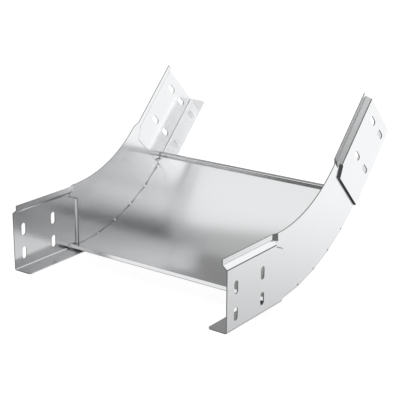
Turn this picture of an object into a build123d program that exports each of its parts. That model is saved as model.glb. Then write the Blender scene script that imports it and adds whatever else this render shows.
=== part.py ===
# Inside vertical bend, 45 degrees, for a 300 x 80 mm sheet-steel cable tray.
# Two pressed side walls, one the mirror of the other, and a curved floor sheet spot-welded on their tabs.
# The bend lies as it rests by itself: on its middle tabs, both ends rising. Millimetres, +Z up.
from build123d import *
from math import atan2, cos, degrees, radians, sin, tan
import os

# Tray that the ends slide over
tray_width = 300.0
slide_clearance = 0.2

# Sheet
sheet = 1.25
floor_sheet = 1.0
bend_radius = 1.0

# Bend
bend_angle = 45.0
bottom_radius = 252.0
wall_height = 81.4

# Straight ends
end_length = 99.5
joggle_depth = 2.8
joggle_back = 8.4
joggle_run = 0.9
joggle_corner_drop = 7.5
joggle_top_slope = 22.0
flange_width = 25.0
flange_corner = 3.0

# Lip along the top of each end
lip_top_drop = 0.5
lip_band_height = 6.2
lip_slope_height = 4.6
lip_inset = 6.0
lip_bend_radius = 1.0
lip_run = 6.7
lip_heel = 5.6

# Slots for the tray's screws
slot_width = 7.0
slot_length = 15.0
slot_pitch = 50.0
slot_rise = 29.5
slot_from_end = 16.0
slot_from_bottom = 17.7

# Tabs under the floor
tab_count = 5
tab_angle = 8.0
tab_gap = 2.2
tab_relief = 4.2

# Floor sheet
floor_side_gap = 1.2
floor_tail = 10.0
floor_ear_gap = 0.7
bead_height = 4.3
bead_slope = 2.4
bead_crest = 1.0
bead_lip = 3.7
bead_lip_drop = 2.6
bead_bend_radius = 0.8

half_angle = bend_angle / 2
end_outer = tray_width / 2 + slide_clearance + sheet
wall_outer = end_outer - joggle_depth
top_radius = bottom_radius - wall_height
facet_radius = bottom_radius * cos(radians(tab_angle / 2))
lip_top = wall_height - lip_top_drop
lip_kink = lip_top - lip_band_height
lip_foot = lip_kink - lip_slope_height
joggle_corner = lip_foot - joggle_corner_drop
lip_step = lip_inset - joggle_depth
foot_miter = sheet * tan(atan2(lip_inset, lip_slope_height) / 2)
step_miter = sheet * tan(atan2(lip_step, lip_run) / 2)
mid_bend_radius = bend_radius + sheet / 2
overlap = 0.5


def turned(part, angle, radius):
    """Carry a part made with its base at the origin round the bend, onto a radius."""
    return Pos(0, 0, facet_radius) * Rot(0, -angle, 0) * Pos(0, 0, -radius) * part


def at_end(part):
    """Place a part drawn with X outward along the run and Z up the wall at the +X end."""
    return turned(part, half_angle, bottom_radius)


def sheet_section(points, radius):
    """Face of bent sheet, from the corners (Y, Z) of its middle line."""
    return Plane.YZ * trace(FilletPolyline(*points, radius=radius), line_width=sheet)


def angle_section(outer, height):
    """Flange, bend and wall of one side, with the wall's outer face at outer."""
    middle = outer - sheet / 2
    inner_edge = outer - flange_width
    return sheet_section([(inner_edge, sheet / 2), (middle, sheet / 2), (middle, height)], mid_bend_radius)


def end_profile():
    """Straight end with its lip, from where the lip is fully pressed in out to the free end."""
    middle = end_outer - sheet / 2
    corners = [
        (end_outer - flange_width, sheet / 2),
        (middle, sheet / 2),
        (middle, lip_foot),
        (middle - lip_inset, lip_kink),
        (middle - lip_inset, lip_top),
    ]
    radii = [mid_bend_radius, lip_bend_radius, lip_bend_radius]
    face = Plane.YZ * trace(FilletPolyline(*corners, radius=radii), line_width=sheet)
    return Pos(lip_run, 0, 0) * extrude(face, amount=end_length - lip_run)


def incline(skin, y):
    """Height of the lip's incline at y, on the sheet's outer skin (0) or its inner one (1)."""
    foot = lip_foot + foot_miter * (0.5 - skin)
    return foot + (end_outer - skin * sheet - y) * lip_slope_height / lip_inset


def raised_end(skin):
    """Tapered block that the end is pressed out to, up to one skin of the sheet: 0 outer, 1 inner."""
    base_y = wall_outer - skin * sheet
    reach = 3 * lip_run
    heel_rise = (joggle_back + lip_heel) * tan(radians(joggle_top_slope))
    corners = [
        (-joggle_back, -reach),
        (reach, -reach),
        (reach, lip_foot + reach),
        (lip_heel, lip_foot + reach),
        (lip_heel, joggle_corner + heel_rise),
        (-joggle_back, joggle_corner),
    ]
    base = Plane.XZ.offset(-base_y) * make_face(Polyline(*corners, close=True))
    block = extrude(base, amount=-joggle_depth, taper=degrees(atan2(joggle_run, joggle_depth)))
    top_y = base_y + joggle_depth
    side = [
        (base_y, -reach),
        (top_y, -reach),
        (top_y, incline(skin, top_y)),
        (base_y, incline(skin, base_y)),
    ]
    return block & extrude(Plane.YZ * make_face(Polyline(*side, close=True)), amount=reach, both=True)


def lip_pocket(skin):
    """Block that the lip's end is pressed in from, down to one skin of the sheet: 0 outer, 1 inner."""
    base_y = wall_outer - skin * sheet
    deep_y = base_y - lip_step
    start = -skin * step_miter
    reach = 3 * lip_run
    high = wall_height + reach
    along = [(start, base_y), (start + lip_run, deep_y), (reach, deep_y), (reach, base_y)]
    side = [(base_y, incline(skin, base_y)), (deep_y, incline(skin, deep_y)), (deep_y, high), (base_y, high)]
    block = extrude(make_face(Polyline(*along, close=True)), amount=high)
    return block & extrude(Plane.YZ * make_face(Polyline(*side, close=True)), amount=reach, both=True)


def joggled_web():
    """Flat wall from the curved wall to the straight end: its foot steps out and its lip steps in."""
    foot = mid_bend_radius + sheet
    near = -joggle_back - 2 * joggle_depth
    plate = Pos(near, wall_outer - sheet, foot) * Box(
        lip_run - near, sheet, wall_height - foot, align=(Align.MIN, Align.MIN, Align.MIN)
    )
    web = plate + raised_end(0) + lip_pocket(1)
    web -= raised_end(1)
    web -= lip_pocket(0)
    corners = [
        (near, foot),
        (lip_run, foot),
        (lip_run, lip_top),
        (0, wall_height),
        (near, wall_height),
    ]
    outline = extrude(Plane.XZ * make_face(Polyline(*corners, close=True)), amount=-end_outer)
    return web & outline


def end_foot():
    """Flange and bend of the straight end, back to the first tab, following the joggle."""
    bent = -joggle_back + joggle_run
    first_tab = -bottom_radius * sin(radians(half_angle - tab_angle * tab_count / 2)) + tab_gap / 2
    height = mid_bend_radius + 2 * sheet
    straight = Pos(bent, 0, 0) * extrude(angle_section(end_outer, height), amount=lip_run - bent)
    step = Vector(-joggle_run, -joggle_depth, 0)
    stepped = Pos(bent, 0, 0) * extrude(
        angle_section(end_outer, height), amount=step.length, dir=step.normalized()
    )
    inner = Pos(first_tab, 0, 0) * extrude(
        angle_section(wall_outer, height), amount=-joggle_back - first_tab
    )
    return straight + stepped + inner


def slots():
    """Slots through the straight end, long up the wall."""
    places = [
        (end_length - slot_from_end - i * slot_pitch, slot_from_bottom + j * slot_rise)
        for i in range(2)
        for j in range(2)
    ]
    with BuildSketch(Plane.XZ.offset(-end_outer - sheet)) as openings:
        with Locations(*places):
            SlotOverall(slot_length, slot_width, rotation=90)
    return extrude(openings.sketch, amount=3 * sheet)


def curved_web():
    """Curved wall above the tabs, between the two straight ends."""
    foot_radius = (facet_radius - tab_relief) / cos(radians(tab_angle / 2))
    centre = Vector(0, facet_radius)
    steps = [tab_angle * (i - tab_count / 2) for i in range(tab_count + 1)]
    foot = [centre + Vector(0, -foot_radius).rotate(Axis.Z, a) for a in steps]
    ends = [
        centre + Vector(0, -(bottom_radius - tab_relief)).rotate(Axis.Z, a) for a in (-half_angle, half_angle)
    ]
    top_left = centre + Vector(0, -top_radius).rotate(Axis.Z, -half_angle)
    top_right = centre + Vector(0, -top_radius).rotate(Axis.Z, half_angle)
    lines = Polyline(top_left, ends[0], *foot, ends[1], top_right)
    lines += ThreePointArc(top_right, centre + Vector(0, -top_radius), top_left)
    return extrude(Plane.XZ.offset(-wall_outer) * make_face(lines), amount=sheet)


def tab():
    """One tab with its bend and the strip of wall above it, on its own facet."""
    length = 2 * facet_radius * sin(radians(tab_angle / 2)) - tab_gap
    face = angle_section(wall_outer, tab_relief + overlap)
    return Pos(-length / 2, 0, 0) * extrude(face, amount=length)


def corner_cut():
    """Clipped corner of the end's flange, at its free inner end."""
    corner = Pos(end_length, end_outer - flange_width, 0) * Rot(0, 0, 45)
    return corner * Box(flange_corner * 2**0.5, flange_corner * 2**0.5, 4 * sheet)


def side_wall():
    """Left side wall, on the +Y side."""
    end = end_profile() + joggled_web() + end_foot()
    end -= slots()
    end -= corner_cut()
    end = at_end(end)
    wall = curved_web() + end + mirror(end, about=Plane.YZ)
    for i in range(tab_count):
        wall += turned(tab(), tab_angle * (i - (tab_count - 1) / 2), facet_radius)
    return wall


def floor():
    """Curved floor sheet with a rolled bead across each end."""
    under_radius = facet_radius - sheet
    middle_radius = under_radius - floor_sheet / 2
    half_width = wall_outer - sheet - floor_side_gap
    ear = end_outer - sheet - floor_ear_gap
    centre = (0, facet_radius)
    arc = CenterArc(centre, middle_radius, 270 - half_angle, bend_angle)
    plate = extrude(Plane.XZ * trace(arc, line_width=floor_sheet), amount=half_width, both=True)

    base = bottom_radius - middle_radius
    tip = floor_tail - floor_sheet / 2
    crest = base + bead_height - floor_sheet
    crest_end = tip - bead_lip
    corners = [
        (0, base),
        (crest_end - bead_crest - bead_slope, base),
        (crest_end - bead_crest, crest),
        (crest_end, crest),
        (tip, crest - bead_lip_drop),
    ]
    bead_face = trace(FilletPolyline(*corners, radius=bead_bend_radius), line_width=floor_sheet)
    tail = at_end(extrude(Plane.XZ * bead_face, amount=ear, both=True))
    return plate + tail + mirror(tail, about=Plane.YZ)


wall = side_wall()
pieces = {
    "side_wall_left": wall,
    "side_wall_right": mirror(wall, about=Plane.XZ),
    "floor_sheet": floor(),
}

os.makedirs("parts", exist_ok=True)
for name, piece in pieces.items():
    export_step(piece, f"parts/{name}.step")
    print(name, round(piece.volume), piece.bounding_box().size)
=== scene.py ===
# Looks of the cable tray bend: smooth galvanised sheet in a white studio. Metres.
import math

import bpy
import bmesh
from mathutils import Matrix, Vector


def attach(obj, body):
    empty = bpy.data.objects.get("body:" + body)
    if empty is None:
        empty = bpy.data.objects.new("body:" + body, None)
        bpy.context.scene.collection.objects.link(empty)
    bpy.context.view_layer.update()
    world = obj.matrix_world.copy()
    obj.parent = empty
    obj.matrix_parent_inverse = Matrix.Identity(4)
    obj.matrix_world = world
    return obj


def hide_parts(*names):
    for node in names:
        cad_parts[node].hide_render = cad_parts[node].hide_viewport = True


# The photograph shows the bend with its lower end level: the resting bend turned back by half its angle
BEND_ANGLE = math.radians(45)
TAB_ANGLE = math.radians(8)
BOTTOM_RADIUS = 0.252
REST_CENTRE = Vector((0, 0, BOTTOM_RADIUS * math.cos(TAB_ANGLE / 2)))
LEVEL_CENTRE = Vector((0, 0, BOTTOM_RADIUS))
ACROSS = Vector((0, 1, 0))
UPWARD = Vector((0, 0, 1))

# Camera, about the bend standing on its lower end; lens and sensor in millimetres
CAMERA_AIM = Vector((0.2836, 0.1595, -0.0131))
CAMERA_AZIMUTH = math.radians(-144.21)
CAMERA_ELEVATION = math.radians(17.78)
CAMERA_ROLL = math.radians(0.33)
CAMERA_DISTANCE = 1.5843
CAMERA_LENS = 97.69
CAMERA_SENSOR = 36

# Sheet: thicknesses, roundings, and places by the left wall's outer skin and by the floor's upper skin
WALL_SHEET = 0.00125
FLOOR_SHEET = 0.001
PRESS_RADIUS = 0.0009
PRESS_SEGMENTS = 4
EDGE_ROUND = 0.00014
EDGE_SEGMENTS = 2
WALL_SKIN_Y = 0.1486
WALL_SKIN_Z = 0.06
FLOOR_SKIN = Vector((0, 0, 0.002))

# Turns between faces: still flat, a press line, still the same skin, a cut edge, smoothly shaded
FLAT_TURN = math.radians(0.2)
PRESS_TURN = math.radians(30)
SKIN_TURN = math.radians(76)
CUT_TURN = math.radians(60)
SHADE_TURN = math.radians(40)

# Points this near are one, a face this square to a skin can start it, and flat faces lead the shading
WELD_DISTANCE = 0.000002
SAME_WAY = 0.99
FLAT_WEIGHT = 100

# Places in a piece's material slots: the sheet, the cut edges with painted shade, painted shade on the press
# lines, and painted shade on the lip's folds and the wall's steps
SHEET = 0
RIM = 1
PRESS_SHADE = 2
FOLD_SHADE = 4

# Cut edges that face the walls this squarely keep the sheet's own tone, without the cut edges' painted shade
FLUSH_SIDE = 0.9

# Faces of the lip's folds, leaning up between the upright wall and the incline, and of the steps in the
# wall, which get painted shade
FOLD_LEAN = (0.64, 0.985)
FOLD_RISE = 0.1
STEP_TURN = 0.3
STEP_LEAN = 0.2

# Zinc coat: scales of its clouds, grain and rolling lines, their shares in its tone, and its relief
CLOUD_SCALE = 14
CLOUD_DETAIL = 3
CLOUD_ROUGHNESS = 0.55
GRAIN_SCALE = 420
GRAIN_SHARE = 0.18
LINE_SCALE = 900
LINE_DETAIL = 2
LINE_STRETCH = (0.02, 1, 1)
LINE_SHARE = 0.22
PATTERN_RANGE = (0.25, 0.75)
RELIEF_GRAIN_SHARE = 0.35
RELIEF_DEPTH = 0.00002

# Studio floor: its colour, its glow to the camera, and its sheen in metal, which rises with the slant, so
# that metal looking steeply down sees a painted shadow of the bend
FLOOR_RADIUS = 8
FLOOR_SIDES = 96
FLOOR_COLOUR = 0.3
FLOOR_GLOW = 0.88
FLOOR_SHEEN = 1.1
SHEEN_FROM = 0.12
SHEEN_TO = 0.38

# Painted shade in the sheen: the share of it that is left on the -X side, and where along X it rises from
# that to the whole
DIM_SHARE = 0.65
DIM_FROM = -0.16
DIM_TO = 0.14

# Studio walls: white, with soft-edged cloths, cards and lit panels, a later one over an earlier one.
# Each is given by azimuth from and to, elevation from and to, in degrees, and brightness
STUDIO_WHITE = 1.09
PANEL_SOFTNESS = math.radians(2)
PANELS = [
    ("top cloth", -181, 181, 70, 95, 0.9),
    ("rear cloth", -30, 45, -5, 70, 0.55),
    ("rear low cloth", 0, 45, -5, 25, 0.3),
    ("left low cloth", 45, 90, -5, 25, 0.65),
    ("black card left", 102, 210, -5, 70, 0.02),
    ("grey card left", 90, 150, -5, 40, 0.25),
    ("front lit panel", 186, 240, -5, 45, 1.5),
    ("front low cloth", 240, 272, -5, 40, 0.3),
    ("front cloth", 210, 272, 40, 55, 0.4),
    ("black card above front", 210, 255, 55, 70, 0.05),
    ("black card right", 270, 316, -5, 42, 0.02),
    ("right cloth", 286, 300, 25, 42, 0.45),
    ("right pale cloth", 302, 314, 27, 42, 0.8),
    ("dark strip", 314, 332, 23, 42, 0.1),
    ("right low panel", 315, 345, -5, 25, 1.25),
    ("dim foot", 311, 321, -5, 22, 0.4),
    ("rear lit strip", 338, 360, -5, 30, 1.35),
    ("dim cloth", 268, 286, 40, 57, 0.3),
    ("right lit panel", 285, 300, 40, 57, 0.8),
    ("right bright panel", 300, 330, 40, 57, 1.4),
    ("key panel", 255, 330, 55, 70, 3.9),
]


def rest_from_level():
    """Turn that takes the bend with its lower end level to the bend at rest."""
    turn = Matrix.Rotation(BEND_ANGLE / 2, 4, "Y")
    return Matrix.Translation(REST_CENTRE) @ turn @ Matrix.Translation(-LEVEL_CENTRE)


def make_camera():
    """Camera at the photograph's viewing angle."""
    back = Vector((
        math.cos(CAMERA_ELEVATION) * math.cos(CAMERA_AZIMUTH),
        math.cos(CAMERA_ELEVATION) * math.sin(CAMERA_AZIMUTH),
        math.sin(CAMERA_ELEVATION),
    ))
    right = (-back).cross(UPWARD).normalized()
    up = right.cross(-back)
    axes = Matrix((right, up, back)).transposed().to_4x4()
    place = Matrix.Translation(CAMERA_AIM + back * CAMERA_DISTANCE) @ axes
    place = place @ Matrix.Rotation(CAMERA_ROLL, 4, "Z")
    camera = bpy.data.objects.new("camera", bpy.data.cameras.new("camera"))
    camera.data.lens = CAMERA_LENS
    camera.data.sensor_width = CAMERA_SENSOR
    camera.matrix_world = rest_from_level() @ place
    bpy.context.scene.collection.objects.link(camera)
    bpy.context.scene.camera = camera


# Nodes


def group_sockets(group, names, kind, in_out):
    """Add like sockets to a node group."""
    for name in names:
        group.interface.new_socket(name=name, in_out=in_out, socket_type=kind)


def feed(tree, socket, value):
    """Give an input a plain number, or link it to an output."""
    if isinstance(value, (int, float)):
        socket.default_value = value
    else:
        tree.links.new(value, socket)


def math_node(tree, operation, *values):
    """Math node fed by outputs or plain numbers; returns its output."""
    node = tree.nodes.new("ShaderNodeMath")
    node.operation = operation
    for socket, value in zip(node.inputs, values):
        feed(tree, socket, value)
    return node.outputs[0]


def blend(tree, share, first, second):
    """Mix of two values by a share, all outputs or plain numbers; returns its output."""
    node = tree.nodes.new("ShaderNodeMix")
    node.data_type = "FLOAT"
    feed(tree, node.inputs["Factor"], share)
    feed(tree, node.inputs["A"], first)
    feed(tree, node.inputs["B"], second)
    return node.outputs["Result"]


def soft_step(tree, value, begin, finish):
    """Smooth rise from 0 at begin to 1 at finish, both outputs or plain numbers; returns its output."""
    ramp = tree.nodes.new("ShaderNodeMapRange")
    ramp.interpolation_type = "SMOOTHSTEP"
    feed(tree, ramp.inputs["Value"], value)
    feed(tree, ramp.inputs["From Min"], begin)
    feed(tree, ramp.inputs["From Max"], finish)
    return ramp.outputs["Result"]


def soft_edge(tree, value, edge, side):
    """Soft edge of a panel, which is above the edge where side is 1 and below it where side is -1."""
    begin = math_node(tree, "SUBTRACT", edge, side * PANEL_SOFTNESS)
    finish = math_node(tree, "ADD", edge, side * PANEL_SOFTNESS)
    return soft_step(tree, value, begin, finish)


# Studio


def panel_group():
    """One soft-edged panel of the studio, laid over what is under it. Angles in radians."""
    group = bpy.data.node_groups.new("Studio panel", "ShaderNodeTree")
    names = ["Azimuth", "Elevation", "Under", "Middle", "Half", "Low", "High", "Brightness"]
    group_sockets(group, names, "NodeSocketFloat", "INPUT")
    group_sockets(group, ["Brightness"], "NodeSocketFloat", "OUTPUT")
    given = group.nodes.new("NodeGroupInput").outputs
    out = group.nodes.new("NodeGroupOutput")
    turn = math_node(group, "SUBTRACT", given["Azimuth"], given["Middle"])
    off = math_node(group, "ARCCOSINE", math_node(group, "COSINE", turn))
    across = soft_edge(group, off, given["Half"], -1)
    above = soft_edge(group, given["Elevation"], given["Low"], 1)
    below = soft_edge(group, given["Elevation"], given["High"], -1)
    share = math_node(group, "MULTIPLY", across, math_node(group, "MULTIPLY", above, below))
    group.links.new(blend(group, share, given["Under"], given["Brightness"]), out.inputs["Brightness"])
    return group


def studio_walls():
    """White studio round the object, with its panels; the camera sees it plain white."""
    world = bpy.data.worlds.new("studio")
    world.use_nodes = True
    tree = world.node_tree
    place = tree.nodes.new("ShaderNodeTexCoord")
    parts = tree.nodes.new("ShaderNodeSeparateXYZ")
    tree.links.new(place.outputs["Generated"], parts.inputs[0])
    azimuth = math_node(tree, "ARCTAN2", parts.outputs["Y"], parts.outputs["X"])
    elevation = math_node(tree, "ARCSINE", parts.outputs["Z"])
    group = panel_group()
    brightness = STUDIO_WHITE
    for name, az_from, az_to, low, high, level in PANELS:
        panel = tree.nodes.new("ShaderNodeGroup")
        panel.node_tree = group
        panel.label = name
        feed(tree, panel.inputs["Azimuth"], azimuth)
        feed(tree, panel.inputs["Elevation"], elevation)
        feed(tree, panel.inputs["Under"], brightness)
        feed(tree, panel.inputs["Middle"], math.radians((az_from + az_to) / 2))
        feed(tree, panel.inputs["Half"], math.radians((az_to - az_from) / 2))
        feed(tree, panel.inputs["Low"], math.radians(low))
        feed(tree, panel.inputs["High"], math.radians(high))
        feed(tree, panel.inputs["Brightness"], level)
        brightness = panel.outputs["Brightness"]
    path = tree.nodes.new("ShaderNodeLightPath")
    seen = blend(tree, path.outputs["Is Camera Ray"], brightness, 1)
    background = tree.nodes["Background"]
    background.inputs["Color"].default_value = (1, 1, 1, 1)
    feed(tree, background.inputs["Strength"], seen)
    bpy.context.scene.world = world


def studio_floor():
    """Pale floor that keeps the shadow, and shows white to the camera and, at a slant, in metal, with
    painted shade in metal below the bend and towards -X.
    """
    bpy.ops.object.select_all(action="DESELECT")
    bpy.ops.mesh.primitive_circle_add(vertices=FLOOR_SIDES, radius=FLOOR_RADIUS, fill_type="NGON")
    ground = bpy.context.object
    ground.name = "studio_floor"
    finish = bpy.data.materials.new("studio floor")
    finish.use_nodes = True
    tree = finish.node_tree
    shader = tree.nodes["Principled BSDF"]
    shader.inputs["Base Color"].default_value = (FLOOR_COLOUR, FLOOR_COLOUR, FLOOR_COLOUR, 1)
    shader.inputs["Roughness"].default_value = 1
    shader.inputs["Specular IOR Level"].default_value = 0
    shader.inputs["Emission Color"].default_value = (1, 1, 1, 1)
    place = tree.nodes.new("ShaderNodeTexCoord")
    parts = tree.nodes.new("ShaderNodeSeparateXYZ")
    tree.links.new(place.outputs["Object"], parts.inputs[0])
    # Painted shade: the sheen in metal is dimmer towards -X
    along = soft_step(tree, parts.outputs["X"], DIM_FROM, DIM_TO)
    level = math_node(tree, "ADD", math_node(tree, "MULTIPLY", along, 1 - DIM_SHARE), DIM_SHARE)
    # Painted shadow: little sheen where metal looks steeply down at the floor
    slant = tree.nodes.new("ShaderNodeLayerWeight")
    sheen = soft_step(tree, slant.outputs["Facing"], SHEEN_FROM, SHEEN_TO)
    sheen = math_node(tree, "MULTIPLY", sheen, level)
    path = tree.nodes.new("ShaderNodeLightPath")
    mirrored = math_node(tree, "MAXIMUM", path.outputs["Is Glossy Ray"], path.outputs["Is Transmission Ray"])
    mirrored = math_node(tree, "MULTIPLY", math_node(tree, "MULTIPLY", mirrored, sheen), FLOOR_SHEEN)
    seen = math_node(tree, "MULTIPLY", path.outputs["Is Camera Ray"], FLOOR_GLOW)
    feed(tree, shader.inputs["Emission Strength"], math_node(tree, "ADD", seen, mirrored))
    ground.data.materials.append(finish)


# Galvanised sheet


def zinc_group():
    """Zinc coat: cloudy tone, fine grain and faint rolling lines, as a tone, a roughness and a height."""
    group = bpy.data.node_groups.new("Zinc coat", "ShaderNodeTree")
    group_sockets(group, ["Cloud", "Grain", "Lines"], "NodeSocketFloat", "INPUT")
    group_sockets(group, ["Dark", "Light"], "NodeSocketColor", "INPUT")
    group_sockets(group, ["Smooth", "Rough"], "NodeSocketFloat", "INPUT")
    group_sockets(group, ["Colour"], "NodeSocketColor", "OUTPUT")
    group_sockets(group, ["Roughness", "Height"], "NodeSocketFloat", "OUTPUT")
    nodes = group.nodes
    links = group.links
    given = nodes.new("NodeGroupInput").outputs
    out = nodes.new("NodeGroupOutput").inputs
    place = nodes.new("ShaderNodeTexCoord")

    cloud = nodes.new("ShaderNodeTexNoise")
    cloud.inputs["Detail"].default_value = CLOUD_DETAIL
    cloud.inputs["Roughness"].default_value = CLOUD_ROUGHNESS
    links.new(place.outputs["Object"], cloud.inputs["Vector"])
    links.new(given["Cloud"], cloud.inputs["Scale"])

    grain = nodes.new("ShaderNodeTexVoronoi")
    grain.feature = "F1"
    links.new(place.outputs["Object"], grain.inputs["Vector"])
    links.new(given["Grain"], grain.inputs["Scale"])
    facets = nodes.new("ShaderNodeSeparateColor")
    links.new(grain.outputs["Color"], facets.inputs["Color"])

    stretch = nodes.new("ShaderNodeMapping")
    stretch.inputs["Scale"].default_value = LINE_STRETCH
    links.new(place.outputs["Object"], stretch.inputs["Vector"])
    lines = nodes.new("ShaderNodeTexNoise")
    lines.inputs["Detail"].default_value = LINE_DETAIL
    links.new(stretch.outputs["Vector"], lines.inputs["Vector"])
    links.new(given["Lines"], lines.inputs["Scale"])

    grained = blend(group, GRAIN_SHARE, cloud.outputs["Fac"], facets.outputs["Red"])
    pattern = blend(group, LINE_SHARE, grained, lines.outputs["Fac"])
    tone = nodes.new("ShaderNodeMix")
    tone.data_type = "RGBA"
    links.new(pattern, tone.inputs["Factor"])
    links.new(given["Dark"], tone.inputs["A"])
    links.new(given["Light"], tone.inputs["B"])
    links.new(tone.outputs["Result"], out["Colour"])

    finish = nodes.new("ShaderNodeMapRange")
    links.new(pattern, finish.inputs["Value"])
    finish.inputs["From Min"].default_value = PATTERN_RANGE[0]
    finish.inputs["From Max"].default_value = PATTERN_RANGE[1]
    links.new(given["Smooth"], finish.inputs["To Min"])
    links.new(given["Rough"], finish.inputs["To Max"])
    links.new(finish.outputs["Result"], out["Roughness"])
    height = blend(group, RELIEF_GRAIN_SHARE, lines.outputs["Fac"], facets.outputs["Green"])
    links.new(height, out["Height"])
    return group


def galvanised(name, zinc, dark, light, smooth, rough, bump):
    """Galvanised sheet from the zinc coat group, with the tones, roughness and relief given; the dark ones
    carry painted shade.
    """
    finish = bpy.data.materials.new(name)
    finish.use_nodes = True
    tree = finish.node_tree
    shader = tree.nodes["Principled BSDF"]
    shader.inputs["Metallic"].default_value = 1
    coat = tree.nodes.new("ShaderNodeGroup")
    coat.node_tree = zinc
    coat.inputs["Cloud"].default_value = CLOUD_SCALE
    coat.inputs["Grain"].default_value = GRAIN_SCALE
    coat.inputs["Lines"].default_value = LINE_SCALE
    coat.inputs["Dark"].default_value = (*dark, 1)
    coat.inputs["Light"].default_value = (*light, 1)
    coat.inputs["Smooth"].default_value = smooth
    coat.inputs["Rough"].default_value = rough
    tree.links.new(coat.outputs["Colour"], shader.inputs["Base Color"])
    tree.links.new(coat.outputs["Roughness"], shader.inputs["Roughness"])
    relief = tree.nodes.new("ShaderNodeBump")
    relief.inputs["Strength"].default_value = bump
    relief.inputs["Distance"].default_value = RELIEF_DEPTH
    tree.links.new(coat.outputs["Height"], relief.inputs["Height"])
    tree.links.new(relief.outputs["Normal"], shader.inputs["Normal"])
    return finish


# Sheet pieces


def end_up(x):
    """Direction up the wall at the straight end on the side of x."""
    side = math.copysign(1, x)
    return Vector((-side * math.sin(BEND_ANGLE / 2), 0, math.cos(BEND_ANGLE / 2)))


def is_fold(normal, x):
    """Whether a face belongs to the lip's folds."""
    return FOLD_LEAN[0] < abs(normal.y) < FOLD_LEAN[1] and normal.dot(end_up(x)) > FOLD_RISE


def is_step(normal, x):
    """Whether a face belongs to a step in the wall, so that it turns to face along the run."""
    along = end_up(x).cross(ACROSS)
    return abs(normal.dot(along)) > STEP_TURN and abs(normal.y) > STEP_LEAN


def keep_skin(piece, skin_normal, skin_place):
    """In edit mode, weld the piece and keep one skin of it: the one that holds a place."""
    bpy.ops.mesh.select_mode(type="FACE")
    bpy.ops.mesh.select_all(action="SELECT")
    bpy.ops.mesh.remove_doubles(threshold=WELD_DISTANCE)
    bpy.ops.mesh.dissolve_limited(angle_limit=FLAT_TURN)
    bpy.ops.mesh.select_all(action="DESELECT")
    mesh = bmesh.from_edit_mesh(piece.data)
    facing = [face for face in mesh.faces if face.normal.dot(skin_normal) > SAME_WAY]
    start = min(facing, key=lambda face: (face.calc_center_median() - skin_place).length)
    start.select = True
    mesh.faces.active = start
    bmesh.update_edit_mesh(piece.data)
    bpy.ops.mesh.faces_select_linked_flat(sharpness=SKIN_TURN)
    bpy.ops.mesh.select_all(action="INVERT")
    bpy.ops.mesh.delete(type="FACE")


def mark_folds(piece):
    """In edit mode, give the lip's folds and the steps in the wall their painted shade."""
    mesh = bmesh.from_edit_mesh(piece.data)
    for face in mesh.faces:
        x = face.calc_center_median().x
        if is_fold(face.normal, x) or is_step(face.normal, x):
            face.material_index = FOLD_SHADE
    bmesh.update_edit_mesh(piece.data)


def round_press_lines(piece):
    """In edit mode, round the sharp lines that the press leaves, and give the rounds the press lines'
    painted shade.
    """
    bpy.ops.mesh.select_mode(type="EDGE")
    bpy.ops.mesh.select_all(action="DESELECT")
    mesh = bmesh.from_edit_mesh(piece.data)
    for edge in mesh.edges:
        if len(edge.link_faces) == 2 and edge.calc_face_angle() > PRESS_TURN:
            edge.select = True
    bmesh.update_edit_mesh(piece.data)
    bpy.ops.mesh.bevel(
        offset=PRESS_RADIUS, segments=PRESS_SEGMENTS, affect="EDGES", clamp_overlap=True, material=PRESS_SHADE
    )


def thicken(piece, thickness):
    """Give the skin the sheet's thickness, and break its cut edges."""
    solid = piece.modifiers.new("thickness", "SOLIDIFY")
    solid.thickness = thickness
    solid.offset = -1
    solid.use_even_offset = True
    solid.material_offset_rim = RIM
    broken = piece.modifiers.new("broken edges", "BEVEL")
    broken.width = EDGE_ROUND
    broken.segments = EDGE_SEGMENTS
    broken.limit_method = "ANGLE"
    broken.angle_limit = CUT_TURN
    broken.use_clamp_overlap = True
    for modifier in (solid.name, broken.name):
        bpy.ops.object.modifier_apply(modifier=modifier)


def settle_painted_shade(piece, skin_normal):
    """Less painted shade: the sheet's tone on cut edges beside the walls and inside the steps, and the press
    lines' lighter shade inside the folds.
    """
    for face in piece.data.polygons:
        if face.material_index == RIM and abs(face.normal.y) > FLUSH_SIDE:
            face.material_index = SHEET
        if face.material_index == FOLD_SHADE and face.normal.dot(skin_normal) < 0:
            face.material_index = SHEET if is_step(face.normal, face.center.x) else PRESS_SHADE


def smooth_shading(piece):
    """Shade the rounded lines smooth and keep the flat faces flat."""
    bpy.ops.object.shade_smooth_by_angle(angle=SHADE_TURN)
    flat = piece.modifiers.new("flat faces", "WEIGHTED_NORMAL")
    flat.weight = FLAT_WEIGHT
    flat.keep_sharp = True
    bpy.ops.object.modifier_apply(modifier=flat.name)


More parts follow.
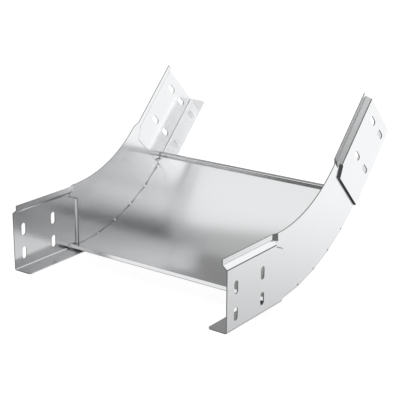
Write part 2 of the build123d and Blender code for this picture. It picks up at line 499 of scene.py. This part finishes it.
def pressed_sheet(node, thickness, skin_normal, skin_place, finishes_and_shades):
    """Rebuild a sheet piece from one skin of its solid, with press lines, thickness and broken edges."""
    piece = bpy.data.objects.new(node.name + "_sheet", node.data.copy())
    bpy.context.scene.collection.objects.link(piece)
    piece.data.materials.clear()
    for finish in finishes_and_shades:
        piece.data.materials.append(finish)
    bpy.ops.object.select_all(action="DESELECT")
    piece.select_set(True)
    bpy.context.view_layer.objects.active = piece

    bpy.ops.object.mode_set(mode="EDIT")
    keep_skin(piece, skin_normal, skin_place)
    mark_folds(piece)
    round_press_lines(piece)
    bpy.ops.object.mode_set(mode="OBJECT")
    thicken(piece, thickness)
    settle_painted_shade(piece, skin_normal)
    smooth_shading(piece)

    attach(piece, "root")
    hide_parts(node.name)


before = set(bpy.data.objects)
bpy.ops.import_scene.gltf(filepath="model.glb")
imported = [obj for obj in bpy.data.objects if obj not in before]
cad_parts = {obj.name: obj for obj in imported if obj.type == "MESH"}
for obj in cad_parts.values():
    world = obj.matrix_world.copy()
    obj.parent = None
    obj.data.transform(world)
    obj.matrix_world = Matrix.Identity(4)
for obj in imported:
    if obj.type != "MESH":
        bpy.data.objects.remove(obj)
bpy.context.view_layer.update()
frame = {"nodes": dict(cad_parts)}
make_camera()
bpy.context.scene.view_settings.view_transform = "Standard"
studio_walls()
studio_floor()

# Each finish or painted shade: dark and light tones, smoothest and roughest, and strength of the relief
zinc = zinc_group()
# Painted shade: the walls' zinc is darker than the floor's
wall_zinc = galvanised("galvanised wall", zinc, (0.66, 0.665, 0.675), (0.7, 0.705, 0.71), 0.17, 0.2, 0.0)
floor_zinc = galvanised("galvanised floor", zinc, (0.72, 0.725, 0.735), (0.76, 0.765, 0.77), 0.17, 0.2, 0.0)
# Cut edges: bare sheared steel, painted darker still as shade along the edges and in the gaps
sheared_and_shade = galvanised("sheared edge and shade", zinc, (0.17, 0.175, 0.18), (0.25, 0.255, 0.26), 0.3, 0.45, 0.5)
# Painted shade on the rounded press lines
press_shade = galvanised("press line shade", zinc, (0.24, 0.245, 0.25), (0.32, 0.325, 0.33), 0.22, 0.3, 0.0)
# Painted shade, near black, on the lip's folds and on the steps in the wall
fold_shade = galvanised("lip fold and step shade", zinc, (0.1, 0.102, 0.105), (0.15, 0.152, 0.155), 0.25, 0.35, 0.0)

# Each finish or painted shade is followed by the one that the cut edges beside it get
wall_finishes_and_shades = [wall_zinc, sheared_and_shade, press_shade, sheared_and_shade, fold_shade, sheared_and_shade]
floor_finishes_and_shades = [floor_zinc, sheared_and_shade, press_shade, sheared_and_shade]

nodes = frame["nodes"]
for name, side in (("side_wall_left", 1), ("side_wall_right", -1)):
    skin_place = Vector((0, side * WALL_SKIN_Y, WALL_SKIN_Z))
    pressed_sheet(nodes[name], WALL_SHEET, side * ACROSS, skin_place, wall_finishes_and_shades)
pressed_sheet(nodes["floor_sheet"], FLOOR_SHEET, UPWARD, FLOOR_SKIN, floor_finishes_and_shades)
